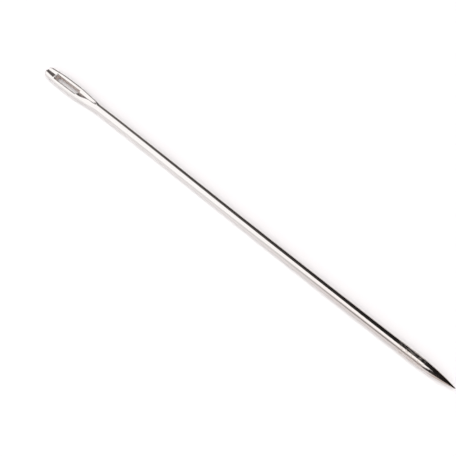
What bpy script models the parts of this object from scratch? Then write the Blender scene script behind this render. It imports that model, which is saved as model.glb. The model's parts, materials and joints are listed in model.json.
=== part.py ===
"""Large-eye steel needle, one piece of drawn wire with a stamped head and a ground point.

Metres, +Z up. The needle lies along X: the blunt head end is at -X and the point is at +X.
The origin is on the shaft's axis, half way along. The eye goes through the head along Z.
"""

import math

import bmesh
import bpy

MM = 0.001

# Driving dimensions. A "station" is a distance from the blunt head end.
LENGTH = 127.0 * MM
SHAFT_RADIUS = 1.20 * MM
HEAD_HALF_WIDTH = 1.85 * MM
HEAD_HALF_THICKNESS = 0.80 * MM
HEAD_EDGE_RADIUS = 0.60 * MM
EYE_START = 3.5 * MM
EYE_END = 11.65 * MM
EYE_HALF_WIDTH = 0.70 * MM
POINT_LENGTH = 8.2 * MM
TIP_RADIUS = 0.10 * MM

# The blunt end: its face, its rounded corners, and where the head has its full width.
END_HALF_WIDTH = 0.85 * MM
SHOULDER_HALF_WIDTH = 1.42 * MM
CORNER_LENGTH = 0.9 * MM
CORNER_POWER = 1.6
WIDENING_END = 6.0 * MM
END_HALF_THICKNESS = 0.74 * MM
THICKNESS_ROUNDING_LENGTH = 0.5 * MM
THICKNESS_ROUNDING_POWER = 1.8
END_EDGE_RADIUS = 0.55 * MM

# Where the head narrows to the shaft, thickens to it, and turns from flat to round.
NARROWING_START = 9.6 * MM
NARROWING_END = 19.2 * MM
THICKENING_START = 11.5 * MM
THICKENING_END = 20.6 * MM
EDGE_GROWTH_START = 12.5 * MM

# Corners of the eye, nearly square towards the blunt end and rounder towards the shaft.
EYE_HEAD_CORNER = 0.35 * MM
EYE_SHAFT_CORNER = 0.55 * MM

# The thread gutters: a long one that runs out on the shaft, and a short one over the blunt end,
# which stops just before the eye. The short one's half widths and depths are at its two ends.
SHAFT_GUTTER_START = EYE_END - EYE_SHAFT_CORNER - 0.2 * MM
SHAFT_GUTTER_END = 17.8 * MM
SHAFT_GUTTER_HALF_WIDTH = EYE_HALF_WIDTH - 0.01 * MM
SHAFT_GUTTER_DEPTH = 0.45 * MM
SHAFT_GUTTER_POWER = 2.0
END_GUTTER_START = -0.4 * MM
END_GUTTER_END = 3.0 * MM
END_GUTTER_WIDTHS = (0.55 * MM, 0.80 * MM)
END_GUTTER_DEPTHS = (0.30 * MM, 0.36 * MM)
RUN_OUT_SHARE = 0.04

# The point swells out from the tip and meets the shaft without an edge.
POINT_POWER = 1.45

# How finely the curved surfaces are divided.
RING_SEGMENTS = 32
CORNER_SEGMENTS = 6
GUTTER_STEPS = 10
END_STEPS = 8
HEAD_STEPS = 34
SHAFT_STEPS = 8
POINT_STEPS = 14
SHARP_ANGLE = math.radians(35)

# The ring's flats, not its corners, lie on the true curve, so the outer sizes are exact.
FACET_FIT = 1.0 / math.cos(math.pi / RING_SEGMENTS)

STEEL_COLOUR = (0.78, 0.76, 0.73, 1.0)
STEEL_ROUGHNESS = 0.18


def clear_scene():
    """Remove every object, so that the script can be run again."""
    for old in list(bpy.data.objects):
        bpy.data.objects.remove(old, do_unlink=True)


def along_x(station):
    """X of a station."""
    return station - LENGTH / 2


def mix(start, end, share):
    """The value that lies a given share of the way from start to end."""
    return start + (end - start) * share


def ease(station, start, end):
    """0 before start, 1 after end, and an S-curve between them."""
    share = min(max((station - start) / (end - start), 0.0), 1.0)
    return share * share * (3.0 - 2.0 * share)


def rounded_rise(station, length, power):
    """0 at the blunt end, rising like a rounded corner to 1 at the given station."""
    left = max(1.0 - station / length, 0.0)
    return (1.0 - left**power) ** (1.0 / power)


def corner_rise(station):
    """How far the blunt end's corners have widened: 0 to 1."""
    return rounded_rise(station, CORNER_LENGTH, CORNER_POWER)


def point_share(station):
    """Radius as a share of the shaft's: 1 on the shaft, falling to the blunted tip's share."""
    ground = (station - (LENGTH - POINT_LENGTH)) / POINT_LENGTH
    return mix(1.0, TIP_RADIUS / SHAFT_RADIUS, max(ground, 0.0) ** POINT_POWER)


def half_width(station):
    """Half of the needle's width, along Y."""
    end = mix(END_HALF_WIDTH, SHOULDER_HALF_WIDTH, corner_rise(station))
    head = mix(end, HEAD_HALF_WIDTH, ease(station, 0.0, WIDENING_END))
    return mix(head, SHAFT_RADIUS, ease(station, NARROWING_START, NARROWING_END))


def half_thickness(station):
    """Half of the needle's thickness, along Z."""
    rise = rounded_rise(station, THICKNESS_ROUNDING_LENGTH, THICKNESS_ROUNDING_POWER)
    head = mix(END_HALF_THICKNESS, HEAD_HALF_THICKNESS, rise)
    return mix(head, SHAFT_RADIUS, ease(station, THICKENING_START, THICKENING_END))


def edge_radius(station):
    """Width of the rounded edge, along Y: the whole half width where the needle is round."""
    head = mix(END_EDGE_RADIUS, HEAD_EDGE_RADIUS, corner_rise(station))
    return mix(head, SHAFT_RADIUS, ease(station, EDGE_GROWTH_START, NARROWING_END))


def section(station):
    """One ring of the needle: flat top and bottom, round edges, and a circle on the shaft."""
    share = point_share(station)
    width = half_width(station) * share
    thickness = half_thickness(station) * share
    edge = min(edge_radius(station) * share, width)
    ring = []
    for step in range(RING_SEGMENTS):
        angle = (step + 0.5) * 2.0 * math.pi / RING_SEGMENTS
        across = math.cos(angle) * FACET_FIT
        y = math.copysign(width - edge, across) + edge * across
        z = thickness * math.sin(angle) * FACET_FIT
        ring.append((along_x(station), y, z))
    return ring


def stations():
    """Where the rings are: close together on the rounded end and the point, far on the shaft."""
    places = []
    for step in range(END_STEPS):
        places.append(CORNER_LENGTH * (step / END_STEPS) ** 2)
    for step in range(HEAD_STEPS):
        places.append(mix(CORNER_LENGTH, THICKENING_END, step / HEAD_STEPS))
    shaft_end = LENGTH - POINT_LENGTH
    for step in range(SHAFT_STEPS):
        places.append(mix(THICKENING_END, shaft_end, step / SHAFT_STEPS))
    for step in range(POINT_STEPS + 1):
        places.append(mix(shaft_end, LENGTH, step / POINT_STEPS))
    return places


def steel_material():
    """Polished, plated steel."""
    material = bpy.data.materials.new("plated_steel")
    material.use_nodes = True
    shader = material.node_tree.nodes["Principled BSDF"]
    shader.inputs["Base Color"].default_value = STEEL_COLOUR
    shader.inputs["Metallic"].default_value = 1.0
    shader.inputs["Roughness"].default_value = STEEL_ROUGHNESS
    return material


def add_object(name, mesh_data):
    """Turn a finished bmesh into an object in the scene."""
    bmesh.ops.recalc_face_normals(mesh_data, faces=mesh_data.faces)
    mesh = bpy.data.meshes.new(name)
    mesh_data.to_mesh(mesh)
    mesh_data.free()
    made = bpy.data.objects.new(name, mesh)
    bpy.context.scene.collection.objects.link(made)
    return made


def loft(name, rings):
    """A closed solid through equal rings of points, with a flat cap at each end."""
    mesh_data = bmesh.new()
    loops = [[mesh_data.verts.new(point) for point in ring] for ring in rings]
    for first, second in zip(loops, loops[1:]):
        for index in range(len(first)):
            after = (index + 1) % len(first)
            mesh_data.faces.new((first[index], first[after], second[after], second[index]))
    mesh_data.faces.new(loops[0])
    mesh_data.faces.new(loops[-1])
    return add_object(name, mesh_data)


def eye_outline():
    """Outline of the eye, seen along Z: a slot with rounded corners."""
    corners = (
        (EYE_END, 1, EYE_SHAFT_CORNER, 0.0),
        (EYE_START, 1, EYE_HEAD_CORNER, 0.5 * math.pi),
        (EYE_START, -1, EYE_HEAD_CORNER, math.pi),
        (EYE_END, -1, EYE_SHAFT_CORNER, 1.5 * math.pi),
    )
    outline = []
    for end, side, radius, first_angle in corners:
        inward = -radius if end == EYE_END else radius
        centre_x = along_x(end) + inward
        centre_y = side * (EYE_HALF_WIDTH - radius)
        for step in range(CORNER_SEGMENTS + 1):
            angle = first_angle + 0.5 * math.pi * step / CORNER_SEGMENTS
            x = centre_x + radius * math.cos(angle)
            y = centre_y + radius * math.sin(angle)
            outline.append((x, y))
    return outline


def eye_cutter():
    """A prism that punches the eye."""
    reach = 2.0 * SHAFT_RADIUS
    outline = eye_outline()
    rings = [[(x, y, z) for x, y in outline] for z in (-reach, reach)]
    return loft("eye_cutter", rings)


def gutter_ring(station, surface, half_width_here, depth_here):
    """One ellipse of a gutter's cutter, centred on the needle's surface."""
    ring = []
    for step in range(RING_SEGMENTS):
        angle = (step + 0.5) * 2.0 * math.pi / RING_SEGMENTS
        y = half_width_here * math.cos(angle)
        z = surface + depth_here * math.sin(angle)
        ring.append((along_x(station), y, z))
    return ring


def shaft_gutter_cutter(label, side):
    """A rod that follows the needle's surface and tapers away on the shaft."""
    rings = []
    for step in range(GUTTER_STEPS + 1):
        share = step / GUTTER_STEPS
        station = mix(SHAFT_GUTTER_START, SHAFT_GUTTER_END, share)
        size = mix(1.0, RUN_OUT_SHARE, share**SHAFT_GUTTER_POWER)
        surface = side * half_thickness(station)
        half_width_here = SHAFT_GUTTER_HALF_WIDTH * size
        rings.append(gutter_ring(station, surface, half_width_here, SHAFT_GUTTER_DEPTH * size))
    return loft(f"shaft_gutter_{label}_cutter", rings)


def end_gutter_cutter(label, side):
    """A rod from the eye out over the blunt end, where it is narrower and deeper."""
    rings = []
    places = (END_GUTTER_START, END_GUTTER_END)
    for station, width, depth in zip(places, END_GUTTER_WIDTHS, END_GUTTER_DEPTHS):
        surface = side * half_thickness(max(station, 0.0))
        rings.append(gutter_ring(station, surface, width, depth))
    return loft(f"end_gutter_{label}_cutter", rings)


def cutters():
    """Everything that is taken out of the head."""
    made = [eye_cutter()]
    for label, side in (("top", 1), ("bottom", -1)):
        made.append(shaft_gutter_cutter(label, side))
        made.append(end_gutter_cutter(label, side))
    return made


def cut(body, cutter):
    """Take the cutter's shape out of the body, and keep the cutter out of the part."""
    cutter.hide_render = True
    cutter.display_type = "WIRE"
    boolean = body.modifiers.new(cutter.name, "BOOLEAN")
    boolean.operation = "DIFFERENCE"
    boolean.solver = "EXACT"
    boolean.object = cutter


def build_needle():
    """The whole needle, which is one piece of steel."""
    needle = loft("needle", [section(place) for place in stations()])
    needle.data.materials.append(steel_material())
    needle.data.shade_smooth()
    needle.data.set_sharp_from_angle(angle=SHARP_ANGLE)
    for cutter in cutters():
        cut(needle, cutter)


clear_scene()
build_needle()
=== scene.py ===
"""Looks for the large-eye needle: a fine mesh, plated steel, and a plain white studio.

Metres, in the frame of the CAD model. The needle lies along X with its blunt head end at -X.
A "station" is a distance from the blunt head end, and "across" is along Y.
"""

import json
import math

import bmesh
import bpy
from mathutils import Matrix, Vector


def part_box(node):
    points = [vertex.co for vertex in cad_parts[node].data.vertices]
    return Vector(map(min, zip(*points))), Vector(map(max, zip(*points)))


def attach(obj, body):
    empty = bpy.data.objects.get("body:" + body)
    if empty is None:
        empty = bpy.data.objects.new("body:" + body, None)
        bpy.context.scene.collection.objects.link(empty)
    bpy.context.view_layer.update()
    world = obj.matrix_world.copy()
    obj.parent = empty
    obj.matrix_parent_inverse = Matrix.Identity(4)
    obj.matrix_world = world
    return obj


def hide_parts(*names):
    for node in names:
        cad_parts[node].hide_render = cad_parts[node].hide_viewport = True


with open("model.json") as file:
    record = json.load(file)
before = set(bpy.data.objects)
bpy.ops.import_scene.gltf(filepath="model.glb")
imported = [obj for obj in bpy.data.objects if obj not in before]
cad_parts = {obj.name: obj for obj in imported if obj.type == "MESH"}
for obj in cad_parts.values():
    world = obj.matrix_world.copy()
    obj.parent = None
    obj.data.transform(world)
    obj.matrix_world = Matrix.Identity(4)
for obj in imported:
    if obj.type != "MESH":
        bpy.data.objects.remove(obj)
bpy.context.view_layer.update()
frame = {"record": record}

MM = 0.001

# Sizes read from the frame.
NEEDLE_LOW, NEEDLE_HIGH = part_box("needle")
MOUNTS = {mount["name"]: mount for mount in frame["record"]["mounts"]}
HEAD_END = NEEDLE_LOW[0]
LENGTH = NEEDLE_HIGH[0] - NEEDLE_LOW[0]
SHAFT_RADIUS = NEEDLE_HIGH[2]
HEAD_HALF_WIDTH = NEEDLE_HIGH[1]
HEAD_HALF_THICKNESS = MOUNTS["jaw_flat_top"]["pos_m"][2]
FLOOR_HEIGHT = NEEDLE_LOW[2]

# The head's outline and thickness.
HEAD_EDGE_RADIUS = 0.62 * MM
END_HALF_WIDTH = 0.85 * MM
SHOULDER_HALF_WIDTH = 1.54 * MM
CORNER_LENGTH = 0.9 * MM
CORNER_POWER = 1.6
WIDENING_END = 6.0 * MM
END_HALF_THICKNESS = 0.74 * MM
END_EDGE_RADIUS = 0.72 * MM
THICKNESS_ROUNDING_LENGTH = 0.5 * MM
THICKNESS_ROUNDING_POWER = 1.8
NARROWING_START = 9.6 * MM
NARROWING_END = 19.2 * MM
THICKENING_START = 11.5 * MM
THICKENING_END = 20.6 * MM

# Where the edges grow from the head's to the shaft's, on the +Y side and on the -Y side.
LEFT_EDGE_GROWTH = (17.2 * MM, 18.6 * MM)
RIGHT_EDGE_GROWTH = (11.8 * MM, 17.0 * MM)

# The eye and its rounded rim.
EYE_START = 3.52 * MM
EYE_END = 11.50 * MM
EYE_HALF_WIDTH = 0.70 * MM
EYE_SHIFT = -0.11 * MM
EYE_HEAD_CORNER = 0.35 * MM
EYE_SHAFT_CORNER = 0.38 * MM
SIDE_RIM_RADIUS = 0.33 * MM
END_RIM_RADIUS = 0.08 * MM

# The thread gutters are V grooves. The long one, on the shaft, has a wide slope up to the +Y
# edge, and a slope to -Y that is wide only beside the eye. Its deepest line starts at +Y of the
# middle and runs to the middle. The short one, over the blunt end, is deepest at +Y of the middle.
SHAFT_GUTTER_START = 10.7 * MM
SHAFT_GUTTER_END = 17.9 * MM
SHAFT_GUTTER_LINES = (0.28 * MM, 0.05 * MM)
LINE_TURN = (12.2 * MM, 15.5 * MM)
SHAFT_GUTTER_DEPTH = 0.42 * MM
SHAFT_GUTTER_POWER = 0.7
STEEP_SIDE_WIDTHS = (1.08 * MM, 0.18 * MM)
STEEP_SIDE_TURN = (12.4 * MM, 15.6 * MM)
END_GUTTER_STOP = (2.85 * MM, 3.25 * MM)
END_GUTTER_LINE = 0.30 * MM
END_GUTTER_LEFT_WIDTHS = (0.38 * MM, 0.56 * MM)
END_GUTTER_RIGHT_WIDTHS = (0.90 * MM, 1.20 * MM)
END_GUTTER_DEPTHS = (0.36 * MM, 0.48 * MM)

# The ground point.
POINT_LENGTH = 8.2 * MM
POINT_POWER = 1.45
TIP_RADIUS = 0.10 * MM
POINT_LEAN = 0.09 * MM

# The needle is a little bent: to +Y behind the head, and to -Y over the rest of the shaft. It is
# the sum of waves of one half turn, two half turns and so on, over the needle's length. The point
# leans back to +Y.
BEND_WAVES = (0.036 * MM, 0.210 * MM, 0.049 * MM, 0.031 * MM)

# How finely the surface is divided. The flats end at FLAT_STEPS of the HALF_STEPS from the
# middle of the needle's top to its side.
HALF_STEPS = 32
FLAT_STEPS = 18
RIM_STEPS = 5
SPOKE_STEPS = 7
WALL_STEPS = 6
CAP_STEPS = 4
CORNER_STEPS = 6
RAIL_STEPS = 50
END_RING_STEPS = 30
NECK_RING_STEPS = 90
SHAFT_RING_STEPS = 60
POINT_RING_STEPS = 40
TIP_RING_STEPS = 4

# The rings over the blunt end lie closer together towards its rounding.
END_RING_POWER = 1.4

# The part of the head that the eye's spokes fill, and where the neck's rings are round.
SPOKES_MARGIN = 0.7 * MM
NECK_MARGIN = 4.0 * MM
SPOKES_START = EYE_START - SPOKES_MARGIN
SPOKES_END = EYE_END + SPOKES_MARGIN
NECK_END = THICKENING_END + NECK_MARGIN

# Where the camera stands, and the place it looks at.
VIEW_AZIMUTH = math.radians(42.4)
VIEW_ELEVATION = math.radians(60.0)
VIEW_DISTANCE = 190 * MM
VIEW_LENS = 65.0
AIM = Vector((2.7 * MM, -3.29 * MM, 0.0))
SENSOR_WIDTH = 36.0
CLIP_START = 1 * MM
CLIP_END = 10.0


def mix(start, end, share):
    """The value that lies a given share of the way from start to end."""
    return start + (end - start) * share


def ease(value, start, end):
    """0 before start, 1 after end, and an S-curve between them."""
    share = min(max((value - start) / (end - start), 0.0), 1.0)
    return share * share * (3.0 - 2.0 * share)


# ---------------------------------------------------------------- the needle's shape


def rounded_rise(station, length, power):
    """0 at the blunt end, rising like a rounded corner to 1 at the given station."""
    left = max(1.0 - station / length, 0.0)
    return (1.0 - left**power) ** (1.0 / power)


def corner_rise(station):
    """How far the blunt end's corners have widened: 0 to 1."""
    return rounded_rise(station, CORNER_LENGTH, CORNER_POWER)


def half_width(station):
    """Half of the head's and the shaft's width."""
    end = mix(END_HALF_WIDTH, SHOULDER_HALF_WIDTH, corner_rise(station))
    head = mix(end, HEAD_HALF_WIDTH, ease(station, 0.0, WIDENING_END))
    return mix(head, SHAFT_RADIUS, ease(station, NARROWING_START, NARROWING_END))


def half_thickness(station):
    """Half of the head's and the shaft's thickness."""
    rise = rounded_rise(station, THICKNESS_ROUNDING_LENGTH, THICKNESS_ROUNDING_POWER)
    head = mix(END_HALF_THICKNESS, HEAD_HALF_THICKNESS, rise)
    return mix(head, SHAFT_RADIUS, ease(station, THICKENING_START, THICKENING_END))


def edge_radius(station, side):
    """Width of the rounded edge on one side: the whole half width where the needle is round."""
    growth = LEFT_EDGE_GROWTH if side > 0 else RIGHT_EDGE_GROWTH
    head = mix(END_EDGE_RADIUS, HEAD_EDGE_RADIUS, ease(station, 0.0, WIDENING_END))
    return mix(head, half_width(station), ease(station, *growth))


def flat_half_width(station, side):
    """Width of the flat top, from the middle to one side."""
    return max(half_width(station) - edge_radius(station, side), 0.0)


def end_gutter_depth(station, across):
    """The short gutter, from just before the eye out over the blunt end."""
    share = station / END_GUTTER_STOP[0]
    widths = END_GUTTER_LEFT_WIDTHS if across > END_GUTTER_LINE else END_GUTTER_RIGHT_WIDTHS
    depth = mix(*END_GUTTER_DEPTHS, share) * (1.0 - ease(station, *END_GUTTER_STOP))
    return depth * max(1.0 - abs(across - END_GUTTER_LINE) / mix(*widths, share), 0.0)


def shaft_gutter_line(station):
    """Where across the long gutter is deepest."""
    return mix(*SHAFT_GUTTER_LINES, ease(station, *LINE_TURN))


def shaft_gutter_depth(station, across):
    """The long gutter, which runs out on the shaft."""
    if station >= SHAFT_GUTTER_END:
        return 0.0
    left = (SHAFT_GUTTER_END - station) / (SHAFT_GUTTER_END - SHAFT_GUTTER_START)
    depth = SHAFT_GUTTER_DEPTH * min(left, 1.0) ** SHAFT_GUTTER_POWER
    depth *= ease(station, SHAFT_GUTTER_START, EYE_END)
    line = shaft_gutter_line(station)
    if across > line:
        width = flat_half_width(station, 1) - line
    else:
        width = mix(*STEEP_SIDE_WIDTHS, ease(station, *STEEP_SIDE_TURN))
    return depth * max(1.0 - abs(across - line) / width, 0.0)


def gutter_depth(station, across):
    """How far the gutters lie below the needle's surface."""
    if station < 0.5 * (EYE_START + EYE_END):
        return end_gutter_depth(station, across)
    return shaft_gutter_depth(station, across)


def plain_height(station, across):
    """Height of the needle's top above its axis, as if it had no gutters and no eye."""
    edge = edge_radius(station, across)
    share = (abs(across) - flat_half_width(station, across)) / edge
    share = min(max(share, 0.0), 1.0)
    return half_thickness(station) * math.sqrt(1.0 - share * share)


def surface_height(station, across):
    """Height of the needle's top above its axis."""
    height = plain_height(station, across)
    return height - min(gutter_depth(station, across), height)


def sunk_depth(station, across, height):
    """How deep a place lies in the eye, or in the gutters except for the long one's wide slope."""
    if not 0.0 < station < SHAFT_GUTTER_END:
        return 0.0
    if station > EYE_END and across > shaft_gutter_line(station):
        return 0.0
    return plain_height(station, across) - abs(height)


def bend(station):
    """How far the needle's line has moved to +Y."""
    turn = math.pi * station / LENGTH
    waves = sum(size * math.sin(number * turn) for number, size in enumerate(BEND_WAVES, 1))
    return waves + POINT_LEAN * ease(station, LENGTH - POINT_LENGTH, LENGTH)


def across_at(station, step, side):
    """Place across for a step from the middle (0) to one side (HALF_STEPS)."""
    flat = flat_half_width(station, side)
    edge = edge_radius(station, side)
    arc = 0.5 * math.pi * edge
    if step <= FLAT_STEPS:
        near_eye = flat * step / FLAT_STEPS
    else:
        near_eye = flat + arc * (step - FLAT_STEPS) / (HALF_STEPS - FLAT_STEPS)
    even = (flat + arc) * step / HALF_STEPS
    walked = mix(near_eye, even, ease(station, SPOKES_END, NECK_END))
    if walked <= flat:
        return side * walked
    return side * (flat + edge * math.sin((walked - flat) / edge))


# ---------------------------------------------------------------- the needle's mesh


class Surface:
    """The needle's mesh while it is put together from rows of vertices."""

    def __init__(self):
        self.mesh_data = bmesh.new()

    def vertex(self, station, across, height):
        """A new vertex."""
        return self.mesh_data.verts.new((HEAD_END + station, across, height))

    def strip(self, first, second):
        """Faces between two rows of vertices that run side by side. The rows may share some."""
        for step in range(len(first) - 1):
            corners = (first[step], first[step + 1], second[step + 1], second[step])
            distinct = list(dict.fromkeys(corners))
            if len(distinct) > 2:
                self.mesh_data.faces.new(distinct)

    def below(self, row):
        """New vertices straight below a row, as deep as it is high, in the opposite order."""
        return [self.mesh_data.verts.new((v.co.x, v.co.y, -v.co.z)) for v in reversed(row)]

    def ring(self, station):
        """A ring of vertices: once round from the +Y side over the top and under the bottom."""
        top = []
        for step in range(HALF_STEPS, -HALF_STEPS - 1, -1):
            across = across_at(station, abs(step), math.copysign(1.0, step))
            height = surface_height(station, across) if abs(step) < HALF_STEPS else 0.0
            top.append(self.vertex(station, across, height))
        return top + self.below(top[1:-1]) + top[:1]

    def finish(self, name):
        """The finished mesh as an object. It stores how deep the gutters and the eye are."""
        sunk = self.mesh_data.verts.layers.float.new("sunk")
        for vertex in self.mesh_data.verts:
            station = vertex.co.x - HEAD_END
            vertex[sunk] = sunk_depth(station, vertex.co.y, vertex.co.z)
            vertex.co.y += bend(station)
        bmesh.ops.recalc_face_normals(self.mesh_data, faces=self.mesh_data.faces)
        mesh = bpy.data.meshes.new(name)
        self.mesh_data.to_mesh(mesh)
        self.mesh_data.free()
        mesh.shade_smooth()
        made = bpy.data.objects.new(name, mesh)
        bpy.context.scene.collection.objects.link(made)
        return made


def ring_top(ring):
    """The ring's vertices over the top, from the +Y side to the -Y side."""
    return ring[: 2 * HALF_STEPS + 1]


def ring_bottom(ring):
    """The ring's vertices under the bottom, from the +Y side to the -Y side."""
    return list(reversed(ring[2 * HALF_STEPS :]))


def flat_part(row):
    """The vertices of a top or bottom row that lie on the flat, from +Y to -Y."""
    return row[HALF_STEPS - FLAT_STEPS : HALF_STEPS + FLAT_STEPS + 1]


def side_part(ring, side):
    """The vertices round the needle's edge, from the top's flat to the bottom's."""
    edge_steps = HALF_STEPS - FLAT_STEPS
    top = ring_top(ring)
    bottom = ring_bottom(ring)
    if side < 0:
        top = top[::-1]
        bottom = bottom[::-1]
    return list(reversed(top[: edge_steps + 1])) + bottom[1 : edge_steps + 1]


def edge_column(surface, station, side):
    """The vertices round the needle's edge at a station beside the eye."""
    top = []
    for step in range(FLAT_STEPS, HALF_STEPS + 1):
        across = across_at(station, step, side)
        height = surface_height(station, across) if step < HALF_STEPS else 0.0
        top.append(surface.vertex(station, across, height))
    return top + surface.below(top[:-1])


def rail_places():
    """The edge columns: the stretch of the eye, the share of the way along it, and the station.

    The first place is left out, because the ring before the eye stands there.
    """
    stretches = (
        (SPOKES_START, EYE_START + EYE_HEAD_CORNER, CORNER_STEPS),
        (EYE_START + EYE_HEAD_CORNER, EYE_END - EYE_SHAFT_CORNER, RAIL_STEPS),
        (EYE_END - EYE_SHAFT_CORNER, SPOKES_END, CORNER_STEPS),
    )
    places = []
    for number, (start, end, steps) in enumerate(stretches):
        for step in range(steps):
            places.append((number, step / steps, mix(start, end, step / steps)))
    return places[1:]


def corner_point(end, inward, radius, angle):
    """A place on a corner of the eye, with its outward direction, on the +Y side.

    The angle goes from 0, straight along the needle, to 90 degrees, straight across.
    """
    out_x = -inward * math.cos(angle)
    out_y = math.sin(angle)
    centre_station = end + inward * radius
    centre_across = EYE_HALF_WIDTH - radius
    return (centre_station + radius * out_x, centre_across + radius * out_y, out_x, out_y)


def end_outline(end, inward, radius, share):
    """A place on an end of the eye: from its middle (0) to half way round its corner (1)."""
    straight = EYE_HALF_WIDTH - radius
    walked = abs(share) * (straight + radius * 0.25 * math.pi)
    side = math.copysign(1.0, share)
    if walked <= straight:
        return (end, EYE_SHIFT + side * walked, -inward, 0.0)
    station, across, out_x, out_y = corner_point(end, inward, radius, (walked - straight) / radius)
    return (station, EYE_SHIFT + side * across, out_x, side * out_y)


def side_outline(stretch, share, side):
    """A place on a long side of the eye, from half way round one corner to the other."""
    if stretch == 0:
        angle = mix(0.25 * math.pi, 0.5 * math.pi, share)
        place = corner_point(EYE_START, 1, EYE_HEAD_CORNER, angle)
    elif stretch == 1:
        start = EYE_START + EYE_HEAD_CORNER
        end = EYE_END - EYE_SHAFT_CORNER
        place = (mix(start, end, share), EYE_HALF_WIDTH, 0.0, 1.0)
    else:
        angle = mix(0.5 * math.pi, 0.25 * math.pi, share)
        place = corner_point(EYE_END, -1, EYE_SHAFT_CORNER, angle)
    station, across, out_x, out_y = place
    return (station, EYE_SHIFT + side * across, out_x, side * out_y)


def spoke_points(outline, outer):
    """One spoke's places, from the eye's wall over the rim and out to the edge of the flat."""
    station, across, out_x, out_y = outline
    rim_radius = mix(END_RIM_RADIUS, SIDE_RIM_RADIUS, out_y * out_y)
    outer_station = outer.co.x - HEAD_END
    outer_across = outer.co.y
    points = []
    for step in range(RIM_STEPS + 1):
        angle = 0.5 * math.pi * step / RIM_STEPS
        away = rim_radius * (1.0 - math.cos(angle))
        drop = rim_radius * (1.0 - math.sin(angle))
        place = (station + out_x * away, across + out_y * away)
        points.append((place[0], place[1], surface_height(*place) - drop))
    rim_station, rim_across = points[-1][0], points[-1][1]
    for step in range(1, SPOKE_STEPS):
        share = step / SPOKE_STEPS
        place = (mix(rim_station, outer_station, share), mix(rim_across, outer_across, share))
        points.append((place[0], place[1], surface_height(*place)))
    return points


def eye_spokes(first_ring, last_ring, columns):
    """Outline place, top vertex and bottom vertex of every spoke, once round the eye."""
    spokes = []
    last_top = flat_part(ring_top(last_ring))
    last_bottom = flat_part(ring_bottom(last_ring))
    first_top = flat_part(ring_top(first_ring))
    first_bottom = flat_part(ring_bottom(first_ring))
    count = 2 * FLAT_STEPS
    for index in range(count, -1, -1):
        share = 1.0 - 2.0 * index / count
        outline = end_outline(EYE_END, -1, EYE_SHAFT_CORNER, share)
        spokes.append((outline, last_top[index], last_bottom[index]))
    for (stretch, share, _), column in reversed(columns[1]):
        spokes.append((side_outline(stretch, share, 1), column[0], column[-1]))
    for index in range(count + 1):
        share = 1.0 - 2.0 * index / count
        outline = end_outline(EYE_START, 1, EYE_HEAD_CORNER, share)
        spokes.append((outline, first_top[index], first_bottom[index]))
    for (stretch, share, _), column in columns[-1]:
        spokes.append((side_outline(stretch, share, -1), column[0], column[-1]))
    return spokes


def fill_eye(surface, spokes):
    """The flats round the eye, its rounded rims and its wall."""
    lines = []
    for outline, top_outer, bottom_outer in spokes:
        points = spoke_points(outline, top_outer)
        top = [surface.vertex(*point) for point in points]
        bottom = [surface.vertex(s, a, -z) for s, a, z in points]
        station, across, height = points[0]
        wall = []
        for step in range(1, WALL_STEPS):
            wall.append(surface.vertex(station, across, mix(height, -height, step / WALL_STEPS)))
        line = [top_outer] + top[::-1] + wall + bottom + [bottom_outer]
        lines.append(line)
    for first, second in zip(lines, lines[1:] + lines[:1]):
        surface.strip(first, second)


def head_with_eye(surface, first_ring, last_ring):
    """Everything between the two rings on either side of the eye."""
    columns = {}
    for side in (1, -1):
        made = []
        for place in rail_places():
            made.append((place, edge_column(surface, place[2], side)))
        row = [side_part(first_ring, side)]
        row += [column for _, column in made]
        row += [side_part(last_ring, side)]
        for first, second in zip(row, row[1:]):
            surface.strip(first, second)
        columns[side] = made
    fill_eye(surface, eye_spokes(first_ring, last_ring, columns))


def end_cap(surface, ring):
    """The flat face of the blunt end."""
    top = ring_top(ring)
    bottom = ring_bottom(ring)
    rows = []
    for above, below in zip(top, bottom):
        if above is below:
            rows.append([above] * (CAP_STEPS + 1))
            continue
        row = [above]
        for step in range(1, CAP_STEPS):
            height = mix(above.co.z, below.co.z, step / CAP_STEPS)
            row.append(surface.mesh_data.verts.new((above.co.x, above.co.y, height)))
        rows.append(row + [below])
    for first, second in zip(rows, rows[1:]):
        surface.strip(first, second)


def point_radius(station):
    """Radius of the ground point."""
    ground = (station - (LENGTH - POINT_LENGTH)) / POINT_LENGTH
    return mix(SHAFT_RADIUS, TIP_RADIUS, max(ground, 0.0) ** POINT_POWER)


def round_ring(surface, station, radius):
    """A plain round ring that lines up with the other rings."""
    ring = []
    for step in range(4 * HALF_STEPS):
        angle = 0.5 * math.pi * step / HALF_STEPS
        ring.append(surface.vertex(station, radius * math.cos(angle), radius * math.sin(angle)))
    return ring + ring[:1]


def end_stations():
    """Stations from the blunt end to the eye's first ring, close together on the rounding."""
    shares = [step / END_RING_STEPS for step in range(END_RING_STEPS + 1)]
    return [SPOKES_START * share**END_RING_POWER for share in shares]


def neck_stations():
    """Stations from the eye's last ring to where the shaft is round."""
    places = range(NECK_RING_STEPS + 1)
    return [mix(SPOKES_END, NECK_END, step / NECK_RING_STEPS) for step in places]


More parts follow.
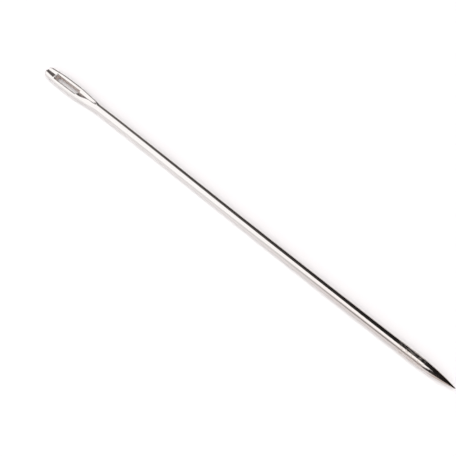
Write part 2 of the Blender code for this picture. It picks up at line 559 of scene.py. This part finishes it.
def add_shaft_and_point(surface, ring):
    """The round shaft, the ground point and the rounded tip, from the neck's last ring on."""
    point_start = LENGTH - POINT_LENGTH
    rings = [ring]
    for step in range(1, SHAFT_RING_STEPS + 1):
        station = mix(NECK_END, point_start, step / SHAFT_RING_STEPS)
        rings.append(round_ring(surface, station, SHAFT_RADIUS))
    for step in range(1, POINT_RING_STEPS + 1):
        station = mix(point_start, LENGTH - TIP_RADIUS, step / POINT_RING_STEPS)
        rings.append(round_ring(surface, station, point_radius(station)))
    shoulder = point_radius(LENGTH - TIP_RADIUS)
    for step in range(1, TIP_RING_STEPS):
        angle = 0.5 * math.pi * step / TIP_RING_STEPS
        station = LENGTH - TIP_RADIUS * (1.0 - math.sin(angle))
        rings.append(round_ring(surface, station, shoulder * math.cos(angle)))
    for first, second in zip(rings, rings[1:]):
        surface.strip(first, second)
    tip = surface.vertex(LENGTH, 0.0, 0.0)
    last = rings[-1]
    for step in range(len(last) - 1):
        surface.mesh_data.faces.new((last[step], last[step + 1], tip))


def build_needle():
    """The whole needle as one closed mesh."""
    surface = Surface()
    end_rings = [surface.ring(station) for station in end_stations()]
    end_cap(surface, end_rings[0])
    for first, second in zip(end_rings, end_rings[1:]):
        surface.strip(first, second)
    neck_rings = [surface.ring(station) for station in neck_stations()]
    head_with_eye(surface, end_rings[-1], neck_rings[0])
    for first, second in zip(neck_rings, neck_rings[1:]):
        surface.strip(first, second)
    add_shaft_and_point(surface, neck_rings[-1])
    return surface.finish("needle_steel")


# ---------------------------------------------------------------- shader nodes


class Nodes:
    """Short calls for the nodes of one material or world. A value is a number or a socket."""

    def __init__(self, tree):
        self.tree = tree

    def add(self, kind, inputs=(), **settings):
        """A node with its settings and its inputs, given as pairs of input and value."""
        made = self.tree.nodes.new(kind)
        for name, value in settings.items():
            setattr(made, name, value)
        for key, value in inputs:
            self.set(made.inputs[key], value)
        return made

    def set(self, socket, value):
        """Link a socket, or write a number or a colour into it."""
        if isinstance(value, bpy.types.NodeSocket):
            self.tree.links.new(value, socket)
        else:
            socket.default_value = value

    def math(self, operation, first, second=0.0):
        """One sum of a Math node."""
        made = self.add("ShaderNodeMath", [(0, first), (1, second)], operation=operation)
        return made.outputs[0]

    def times(self, first, second):
        """The product of two values."""
        return self.math("MULTIPLY", first, second)

    def plus(self, first, second):
        """The sum of two values."""
        return self.math("ADD", first, second)

    def ramp(self, value, low, high, to_low=0.0, to_high=1.0, smooth=True):
        """to_low where the value is low, to_high where it is high, and a passage between the two."""
        shape = "SMOOTHSTEP" if smooth else "LINEAR"
        inputs = [(0, value), (1, low), (2, high), (3, to_low), (4, to_high)]
        made = self.add("ShaderNodeMapRange", inputs, interpolation_type=shape)
        return made.outputs[0]

    def curve(self, value, pairs):
        """A line through pairs of value and result, level beyond the first and the last."""
        result = pairs[0][1]
        for (start, before), (end, after) in zip(pairs, pairs[1:]):
            step = self.ramp(value, start, end, 0.0, after - before, smooth=False)
            result = self.plus(result, step)
        return result

    def between(self, value, start, end, soft):
        """1 between start and end, fading to 0 over a soft edge outside them."""
        rise = self.ramp(value, start - soft, start)
        fall = self.ramp(value, end, end + soft, 1.0, 0.0)
        return self.times(rise, fall)

    def mix(self, share, first, second):
        """The first value where the share is 0 and the second where it is 1."""
        inputs = [("Factor", share), ("A", first), ("B", second)]
        made = self.add("ShaderNodeMix", inputs, data_type="FLOAT")
        return made.outputs[0]

    def blend(self, share, first, second):
        """The first colour where the share is 0 and the second where it is 1."""
        made = self.add("ShaderNodeMix", data_type="RGBA")
        self.set(made.inputs[0], share)
        self.set(made.inputs[6], first)
        self.set(made.inputs[7], second)
        return made.outputs[2]

    def split(self, vector):
        """The three parts of a vector."""
        made = self.add("ShaderNodeSeparateXYZ", [(0, vector)])
        return made.outputs[0], made.outputs[1], made.outputs[2]

    def stretched(self, vector, scale):
        """A vector with each part multiplied by its own scale."""
        made = self.add("ShaderNodeVectorMath", [(0, vector), (1, scale)], operation="MULTIPLY")
        return made.outputs[0]

    def noise(self, vector, cell, detail, roughness=0.5):
        """Noise between 0 and 1, with cells of a given size along the needle and across it."""
        along, across = cell
        place = self.stretched(vector, (1 / along, 1 / across, 1 / across))
        inputs = [("Vector", place), ("Scale", 1.0), ("Detail", detail), ("Roughness", roughness)]
        made = self.add("ShaderNodeTexNoise", inputs)
        return made.outputs[0]


# ---------------------------------------------------------------- materials

# Bright plating; a darker, browner copy of it towards the point, which is painted shade for the
# darker reflections there; and the bare steel of the ground point.
PLATING_COLOUR = (0.697, 0.672, 0.658, 1.0)
SHADED_PLATING_COLOUR = (0.615, 0.575, 0.555, 1.0)
# Tarnish with painted shade, for the eye's walls and the deep gutters.
TARNISH_AND_SHADE_COLOUR = (0.520, 0.440, 0.405, 1.0)
STAIN_COLOUR = (0.420, 0.330, 0.260, 1.0)
GROUND_COLOUR = (0.480, 0.410, 0.370, 1.0)

# Sizes of the marks along the needle and across it: drawing lines, patches and specks.
DRAWN_CELL = (9 * MM, 0.10 * MM)
PATCH_CELL = (2.5 * MM, 1.2 * MM)
SPECK_CELL = (0.9 * MM, 0.35 * MM)

# Stations where the painted shade on the plating, the worn relief and the ground finish start and
# where they are full. The ground's are past the point's start.
SHADED_PLATING_FADE = (55 * MM, 105 * MM)
WORN_FADE = (85 * MM, 112 * MM)
GROUND_FADE = (1.6 * MM, 3.4 * MM)

# Where the stains and the tarnish with its painted shade lie, and how softly they end.
STAIN_REACH = (LENGTH - 13.5 * MM, LENGTH - 9 * MM)
STAIN_SOFTNESS = 2.0 * MM
TARNISH_AND_SHADE_REACH = (EYE_START - 0.1 * MM, EYE_END + 1.8 * MM)
TARNISH_AND_SHADE_SOFTNESS = 0.6 * MM

# The speck noise that makes a stain, the depths that get tarnish and painted shade, and the patch
# noise's range.
STAIN_SPECKS = (0.40, 0.64)
TARNISH_AND_SHADE_DEPTHS = (0.08 * MM, 0.32 * MM)
PATCH_RANGE = (0.3, 0.7)

# The plating's roughness from patch to patch, and what each finish adds to it.
PLATING_ROUGHNESS = (0.05, 0.11)
STAIN_ROUGHNESS = 0.14
TARNISH_AND_SHADE_ROUGHNESS = 0.20
GROUND_ROUGHNESS = 0.04

# How strongly a stain colours the plating, and how far the stain's film and the film of tarnish and
# painted shade hide the metal.
STAIN_STRENGTH = 0.40
STAIN_FILM = 0.25
TARNISH_AND_SHADE_FILM = 0.50

# The relief of the marks. The specks' part of it grows to WORN_RELIEF towards the point.
WORN_RELIEF = 3.5
MARK_STRENGTH = 0.10
MARK_DEPTH = 0.02 * MM


def plated_steel():
    """Bright plating over drawn wire, stained near the point, with a rough ground point."""
    material = bpy.data.materials.new("plated_steel_fine")
    material.use_nodes = True
    nodes = Nodes(material.node_tree)
    shader = material.node_tree.nodes["Principled BSDF"]
    place = nodes.add("ShaderNodeTexCoord").outputs["Object"]
    x, _, _ = nodes.split(place)
    station = nodes.math("SUBTRACT", x, HEAD_END)

    drawn = nodes.noise(place, DRAWN_CELL, 3.0)
    patches = nodes.noise(place, PATCH_CELL, 4.0)
    specks = nodes.noise(place, SPECK_CELL, 4.0, 0.65)

    point_start = LENGTH - POINT_LENGTH
    ground = nodes.ramp(station, point_start + GROUND_FADE[0], point_start + GROUND_FADE[1])
    # Painted shade: the plating is painted darker and browner towards the point.
    shaded_plating = nodes.ramp(station, *SHADED_PLATING_FADE)
    stained = nodes.between(station, *STAIN_REACH, STAIN_SOFTNESS)
    stain = nodes.times(stained, nodes.ramp(specks, *STAIN_SPECKS))

    # Tarnish and painted shade: near the eye, the eye's walls and the deep gutters are painted
    # darker, browner and less metallic, the deeper the more.
    sunk = nodes.add("ShaderNodeAttribute", attribute_name="sunk").outputs["Fac"]
    near_eye = nodes.between(station, *TARNISH_AND_SHADE_REACH, TARNISH_AND_SHADE_SOFTNESS)
    tarnish_and_shade = nodes.times(nodes.ramp(sunk, *TARNISH_AND_SHADE_DEPTHS), near_eye)

    colour = nodes.blend(shaded_plating, PLATING_COLOUR, SHADED_PLATING_COLOUR)
    colour = nodes.blend(nodes.times(stain, STAIN_STRENGTH), colour, STAIN_COLOUR)
    colour = nodes.blend(tarnish_and_shade, colour, TARNISH_AND_SHADE_COLOUR)
    colour = nodes.blend(ground, colour, GROUND_COLOUR)
    roughness = nodes.ramp(patches, *PATCH_RANGE, *PLATING_ROUGHNESS)
    roughness = nodes.plus(roughness, nodes.times(stain, STAIN_ROUGHNESS))
    roughness = nodes.plus(roughness, nodes.times(tarnish_and_shade, TARNISH_AND_SHADE_ROUGHNESS))
    roughness = nodes.plus(roughness, nodes.times(ground, GROUND_ROUGHNESS))
    film_and_shade = nodes.plus(nodes.times(stain, STAIN_FILM), nodes.times(tarnish_and_shade, TARNISH_AND_SHADE_FILM))

    worn = nodes.times(specks, nodes.ramp(station, *WORN_FADE, 0.0, WORN_RELIEF))
    relief = nodes.plus(drawn, worn)
    marks = [("Height", relief), ("Strength", MARK_STRENGTH), ("Distance", MARK_DEPTH)]
    bump = nodes.add("ShaderNodeBump", marks)
    nodes.set(shader.inputs["Base Color"], colour)
    nodes.set(shader.inputs["Metallic"], nodes.math("SUBTRACT", 1.0, film_and_shade))
    nodes.set(shader.inputs["Roughness"], roughness)
    nodes.set(shader.inputs["Normal"], bump.outputs[0])
    return material


# ---------------------------------------------------------------- studio

FLOOR_HALF_SIZE = 3.0
FLOOR_COLOUR = (0.868, 0.850, 0.856, 1.0)

# The studio's light is white where it is bright and a little pink where it is dim.
BRIGHT_TINT = (1.0, 1.0, 1.0, 1.0)
DIM_TINT = (1.0, 0.90, 0.885, 1.0)

# Brightness of the backdrop, and of the parts that the steel reflects.
BACKDROP_LIGHT = 1.10
OVERHEAD_LIGHT = 1.42
OVERHEAD_LIGHT_AT_POINT = 1.62
SIDE_LIGHT = 1.00
BEYOND_POINT_LIGHT = 0.006
BEYOND_POINT_SIDE_LIGHT = 0.06
BEYOND_HEAD_LIGHT = 0.05

# Each curve is pairs of a direction's part along the needle and a value there. The head
# reflects what is at -0.6 and the point what is at 0. Angles go round the needle's axis, from
# 0 straight up to 90 level towards +Y, where the dark wall stands.
DARK_WALL_CURVE = (
    (-0.68, 0.60),
    (-0.60, 0.24),
    (-0.51, 0.24),
    (-0.43, 0.13),
    (-0.32, 0.085),
    (-0.21, 0.045),
    (-0.12, 0.02),
)
DARK_WALL_TOP_CURVE = (
    (-0.60, 30.0),
    (-0.51, 24.6),
    (-0.33, 10.0),
    (-0.21, 7.7),
    (-0.12, -1.0),
    (0.00, -7.0),
    (0.08, -13.0),
)
OVERHEAD_END_CURVE = (
    (-0.51, -78.0),
    (-0.43, -80.0),
    (-0.33, -66.0),
    (-0.21, -50.0),
    (-0.12, -45.0),
)
OVERHEAD_MIDDLE_ANGLE = -26.0
OVERHEAD_ROUNDNESS = 0.0025
EDGE_SOFTNESS = 3.0

# Where along the needle the overhead light turns from the head's to the point's.
OVERHEAD_TURN = (-0.35, -0.15)

# A dim gap low in the pale side, which only the shaft and the point reflect.
GAP_ANGLES = (-84.0, -62.0)
GAP_SOFTNESS = 4.0
GAP_TURN = (-0.30, -0.13)
GAP_DARKNESS = 0.55

# Where the dark beyond the point begins and ends, and the angles over which it brightens.
BEYOND_POINT_START = (0.15, 0.20)
BEYOND_POINT_STOP = (0.55, 0.70)
BEYOND_POINT_ANGLES = (-75.0, -20.0)

# Where the dark beyond the head ends, and the angles over which it sets in.
BEYOND_HEAD_STOP = (-0.69, -0.63)
BEYOND_HEAD_ANGLES = (5.0, 25.0)

# How the dark wall dims from its top down: the angles, and the share of its light there.
DARK_WALL_ANGLES = (40.0, 65.0)
DARK_WALL_SHARES = (1.2, 0.6)

# The light at which the tint starts to leave pink, and the light at which it is white.
TINT_LIGHTS = (0.3, 1.0)

# How bright the dome is as the floor sees it, at angles round the needle's axis.
DOME_CURVE = ((-30.0, 1.62), (-15.0, 1.85), (10.0, 1.85), (30.0, 0.45))


def floor_material():
    """Plain matt, almost white."""
    material = bpy.data.materials.new("floor_white")
    material.use_nodes = True
    shader = material.node_tree.nodes["Principled BSDF"]
    shader.inputs["Base Color"].default_value = FLOOR_COLOUR
    shader.inputs["Roughness"].default_value = 1.0
    shader.inputs["Specular IOR Level"].default_value = 0.0
    return material


def add_floor():
    """A plain white table top."""
    mesh_data = bmesh.new()
    bmesh.ops.create_grid(mesh_data, x_segments=2, y_segments=2, size=FLOOR_HALF_SIZE)
    mesh = bpy.data.meshes.new("floor")
    mesh_data.to_mesh(mesh)
    mesh_data.free()
    floor = bpy.data.objects.new("floor", mesh)
    floor.location = (0.0, 0.0, FLOOR_HEIGHT)
    floor.data.materials.append(floor_material())
    bpy.context.scene.collection.objects.link(floor)


def add_camera():
    """The camera, at the picture's angle."""
    azimuth, elevation = VIEW_AZIMUTH, VIEW_ELEVATION
    back = Vector(
        (
            math.sin(azimuth) * math.cos(elevation),
            -math.cos(azimuth) * math.cos(elevation),
            math.sin(elevation),
        )
    )
    data = bpy.data.cameras.new("camera")
    data.lens = VIEW_LENS
    data.sensor_width = SENSOR_WIDTH
    data.clip_start = CLIP_START
    data.clip_end = CLIP_END
    camera = bpy.data.objects.new("camera", data)
    camera.location = AIM + back * VIEW_DISTANCE
    camera.rotation_mode = "QUATERNION"
    camera.rotation_quaternion = (-back).to_track_quat("-Z", "Y")
    bpy.context.scene.collection.objects.link(camera)
    bpy.context.scene.camera = camera


def angle_round_needle(nodes, across, up):
    """A direction's angle round the needle's axis, in degrees, from 0 straight up."""
    return nodes.times(nodes.math("ARCTAN2", across, up), math.degrees(1.0))


def open_side(nodes, along, angle):
    """The light overhead and the pale side below it, with the dim gap."""
    past_end = nodes.math("SUBTRACT", angle, nodes.curve(along, OVERHEAD_END_CURVE))
    overhead = nodes.ramp(past_end, -EDGE_SOFTNESS, EDGE_SOFTNESS)
    bright = nodes.ramp(along, *OVERHEAD_TURN, OVERHEAD_LIGHT, OVERHEAD_LIGHT_AT_POINT)
    light = nodes.mix(overhead, SIDE_LIGHT, bright)
    gap = nodes.between(angle, *GAP_ANGLES, GAP_SOFTNESS)
    gap = nodes.times(gap, nodes.ramp(along, *GAP_TURN, 0.0, GAP_DARKNESS))
    return nodes.times(light, nodes.math("SUBTRACT", 1.0, gap))


def with_dark_ends(nodes, along, angle, light):
    """The light, with the dark beyond the point and beyond the head laid over it."""
    off_centre = nodes.math("ABSOLUTE", nodes.math("SUBTRACT", angle, OVERHEAD_MIDDLE_ANGLE))
    reach = nodes.plus(along, nodes.times(off_centre, OVERHEAD_ROUNDNESS))
    beyond_point = nodes.ramp(reach, *BEYOND_POINT_START)
    beyond_point = nodes.times(beyond_point, nodes.ramp(along, *BEYOND_POINT_STOP, 1.0, 0.0))
    glow_lights = (BEYOND_POINT_SIDE_LIGHT, BEYOND_POINT_LIGHT)
    glow = nodes.ramp(angle, *BEYOND_POINT_ANGLES, *glow_lights)
    light = nodes.mix(beyond_point, light, glow)
    beyond_head = nodes.ramp(along, *BEYOND_HEAD_STOP, 1.0, 0.0)
    beyond_head = nodes.times(beyond_head, nodes.ramp(angle, *BEYOND_HEAD_ANGLES))
    return nodes.mix(beyond_head, light, BEYOND_HEAD_LIGHT)


def with_dark_wall(nodes, along, angle, light):
    """The light, with the dark wall at +Y laid over it."""
    past_wall = nodes.math("SUBTRACT", angle, nodes.curve(along, DARK_WALL_TOP_CURVE))
    wall = nodes.ramp(past_wall, -EDGE_SOFTNESS, EDGE_SOFTNESS)
    share = nodes.ramp(angle, *DARK_WALL_ANGLES, *DARK_WALL_SHARES)
    return nodes.mix(wall, light, nodes.times(nodes.curve(along, DARK_WALL_CURVE), share))


def studio_light(nodes, direction):
    """What the steel reflects: light overhead, a pale side, and dark at +Y and both ends."""
    along, across, up = nodes.split(direction)
    angle = angle_round_needle(nodes, across, up)
    light = open_side(nodes, along, angle)
    light = with_dark_ends(nodes, along, angle, light)
    return with_dark_wall(nodes, along, angle, light)


def dome_light(nodes, direction):
    """What lights the floor: a dome, brightest overhead and dim on the dark wall's side."""
    _, across, up = nodes.split(direction)
    return nodes.curve(angle_round_needle(nodes, across, up), DOME_CURVE)


def add_world():
    """A dome for the floor, a white backdrop, and the studio in the steel's reflections."""
    world = bpy.data.worlds.new("studio")
    world.use_nodes = True
    nodes = Nodes(world.node_tree)
    background = world.node_tree.nodes["Background"]
    direction = nodes.add("ShaderNodeTexCoord").outputs["Generated"]
    path = nodes.add("ShaderNodeLightPath")
    off_the_floor = nodes.math("GREATER_THAN", path.outputs["Diffuse Depth"], 0.5)
    light = nodes.mix(off_the_floor, studio_light(nodes, direction), dome_light(nodes, direction))
    light = nodes.mix(path.outputs["Is Camera Ray"], light, BACKDROP_LIGHT)
    tint = nodes.blend(nodes.ramp(light, *TINT_LIGHTS), DIM_TINT, BRIGHT_TINT)
    nodes.set(background.inputs["Strength"], light)
    nodes.set(background.inputs["Color"], tint)
    bpy.context.scene.world = world


needle = build_needle()
needle.data.materials.append(plated_steel())
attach(needle, "root")
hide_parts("needle")
add_floor()
add_camera()
add_world()
bpy.context.scene.view_settings.view_transform = "Standard"
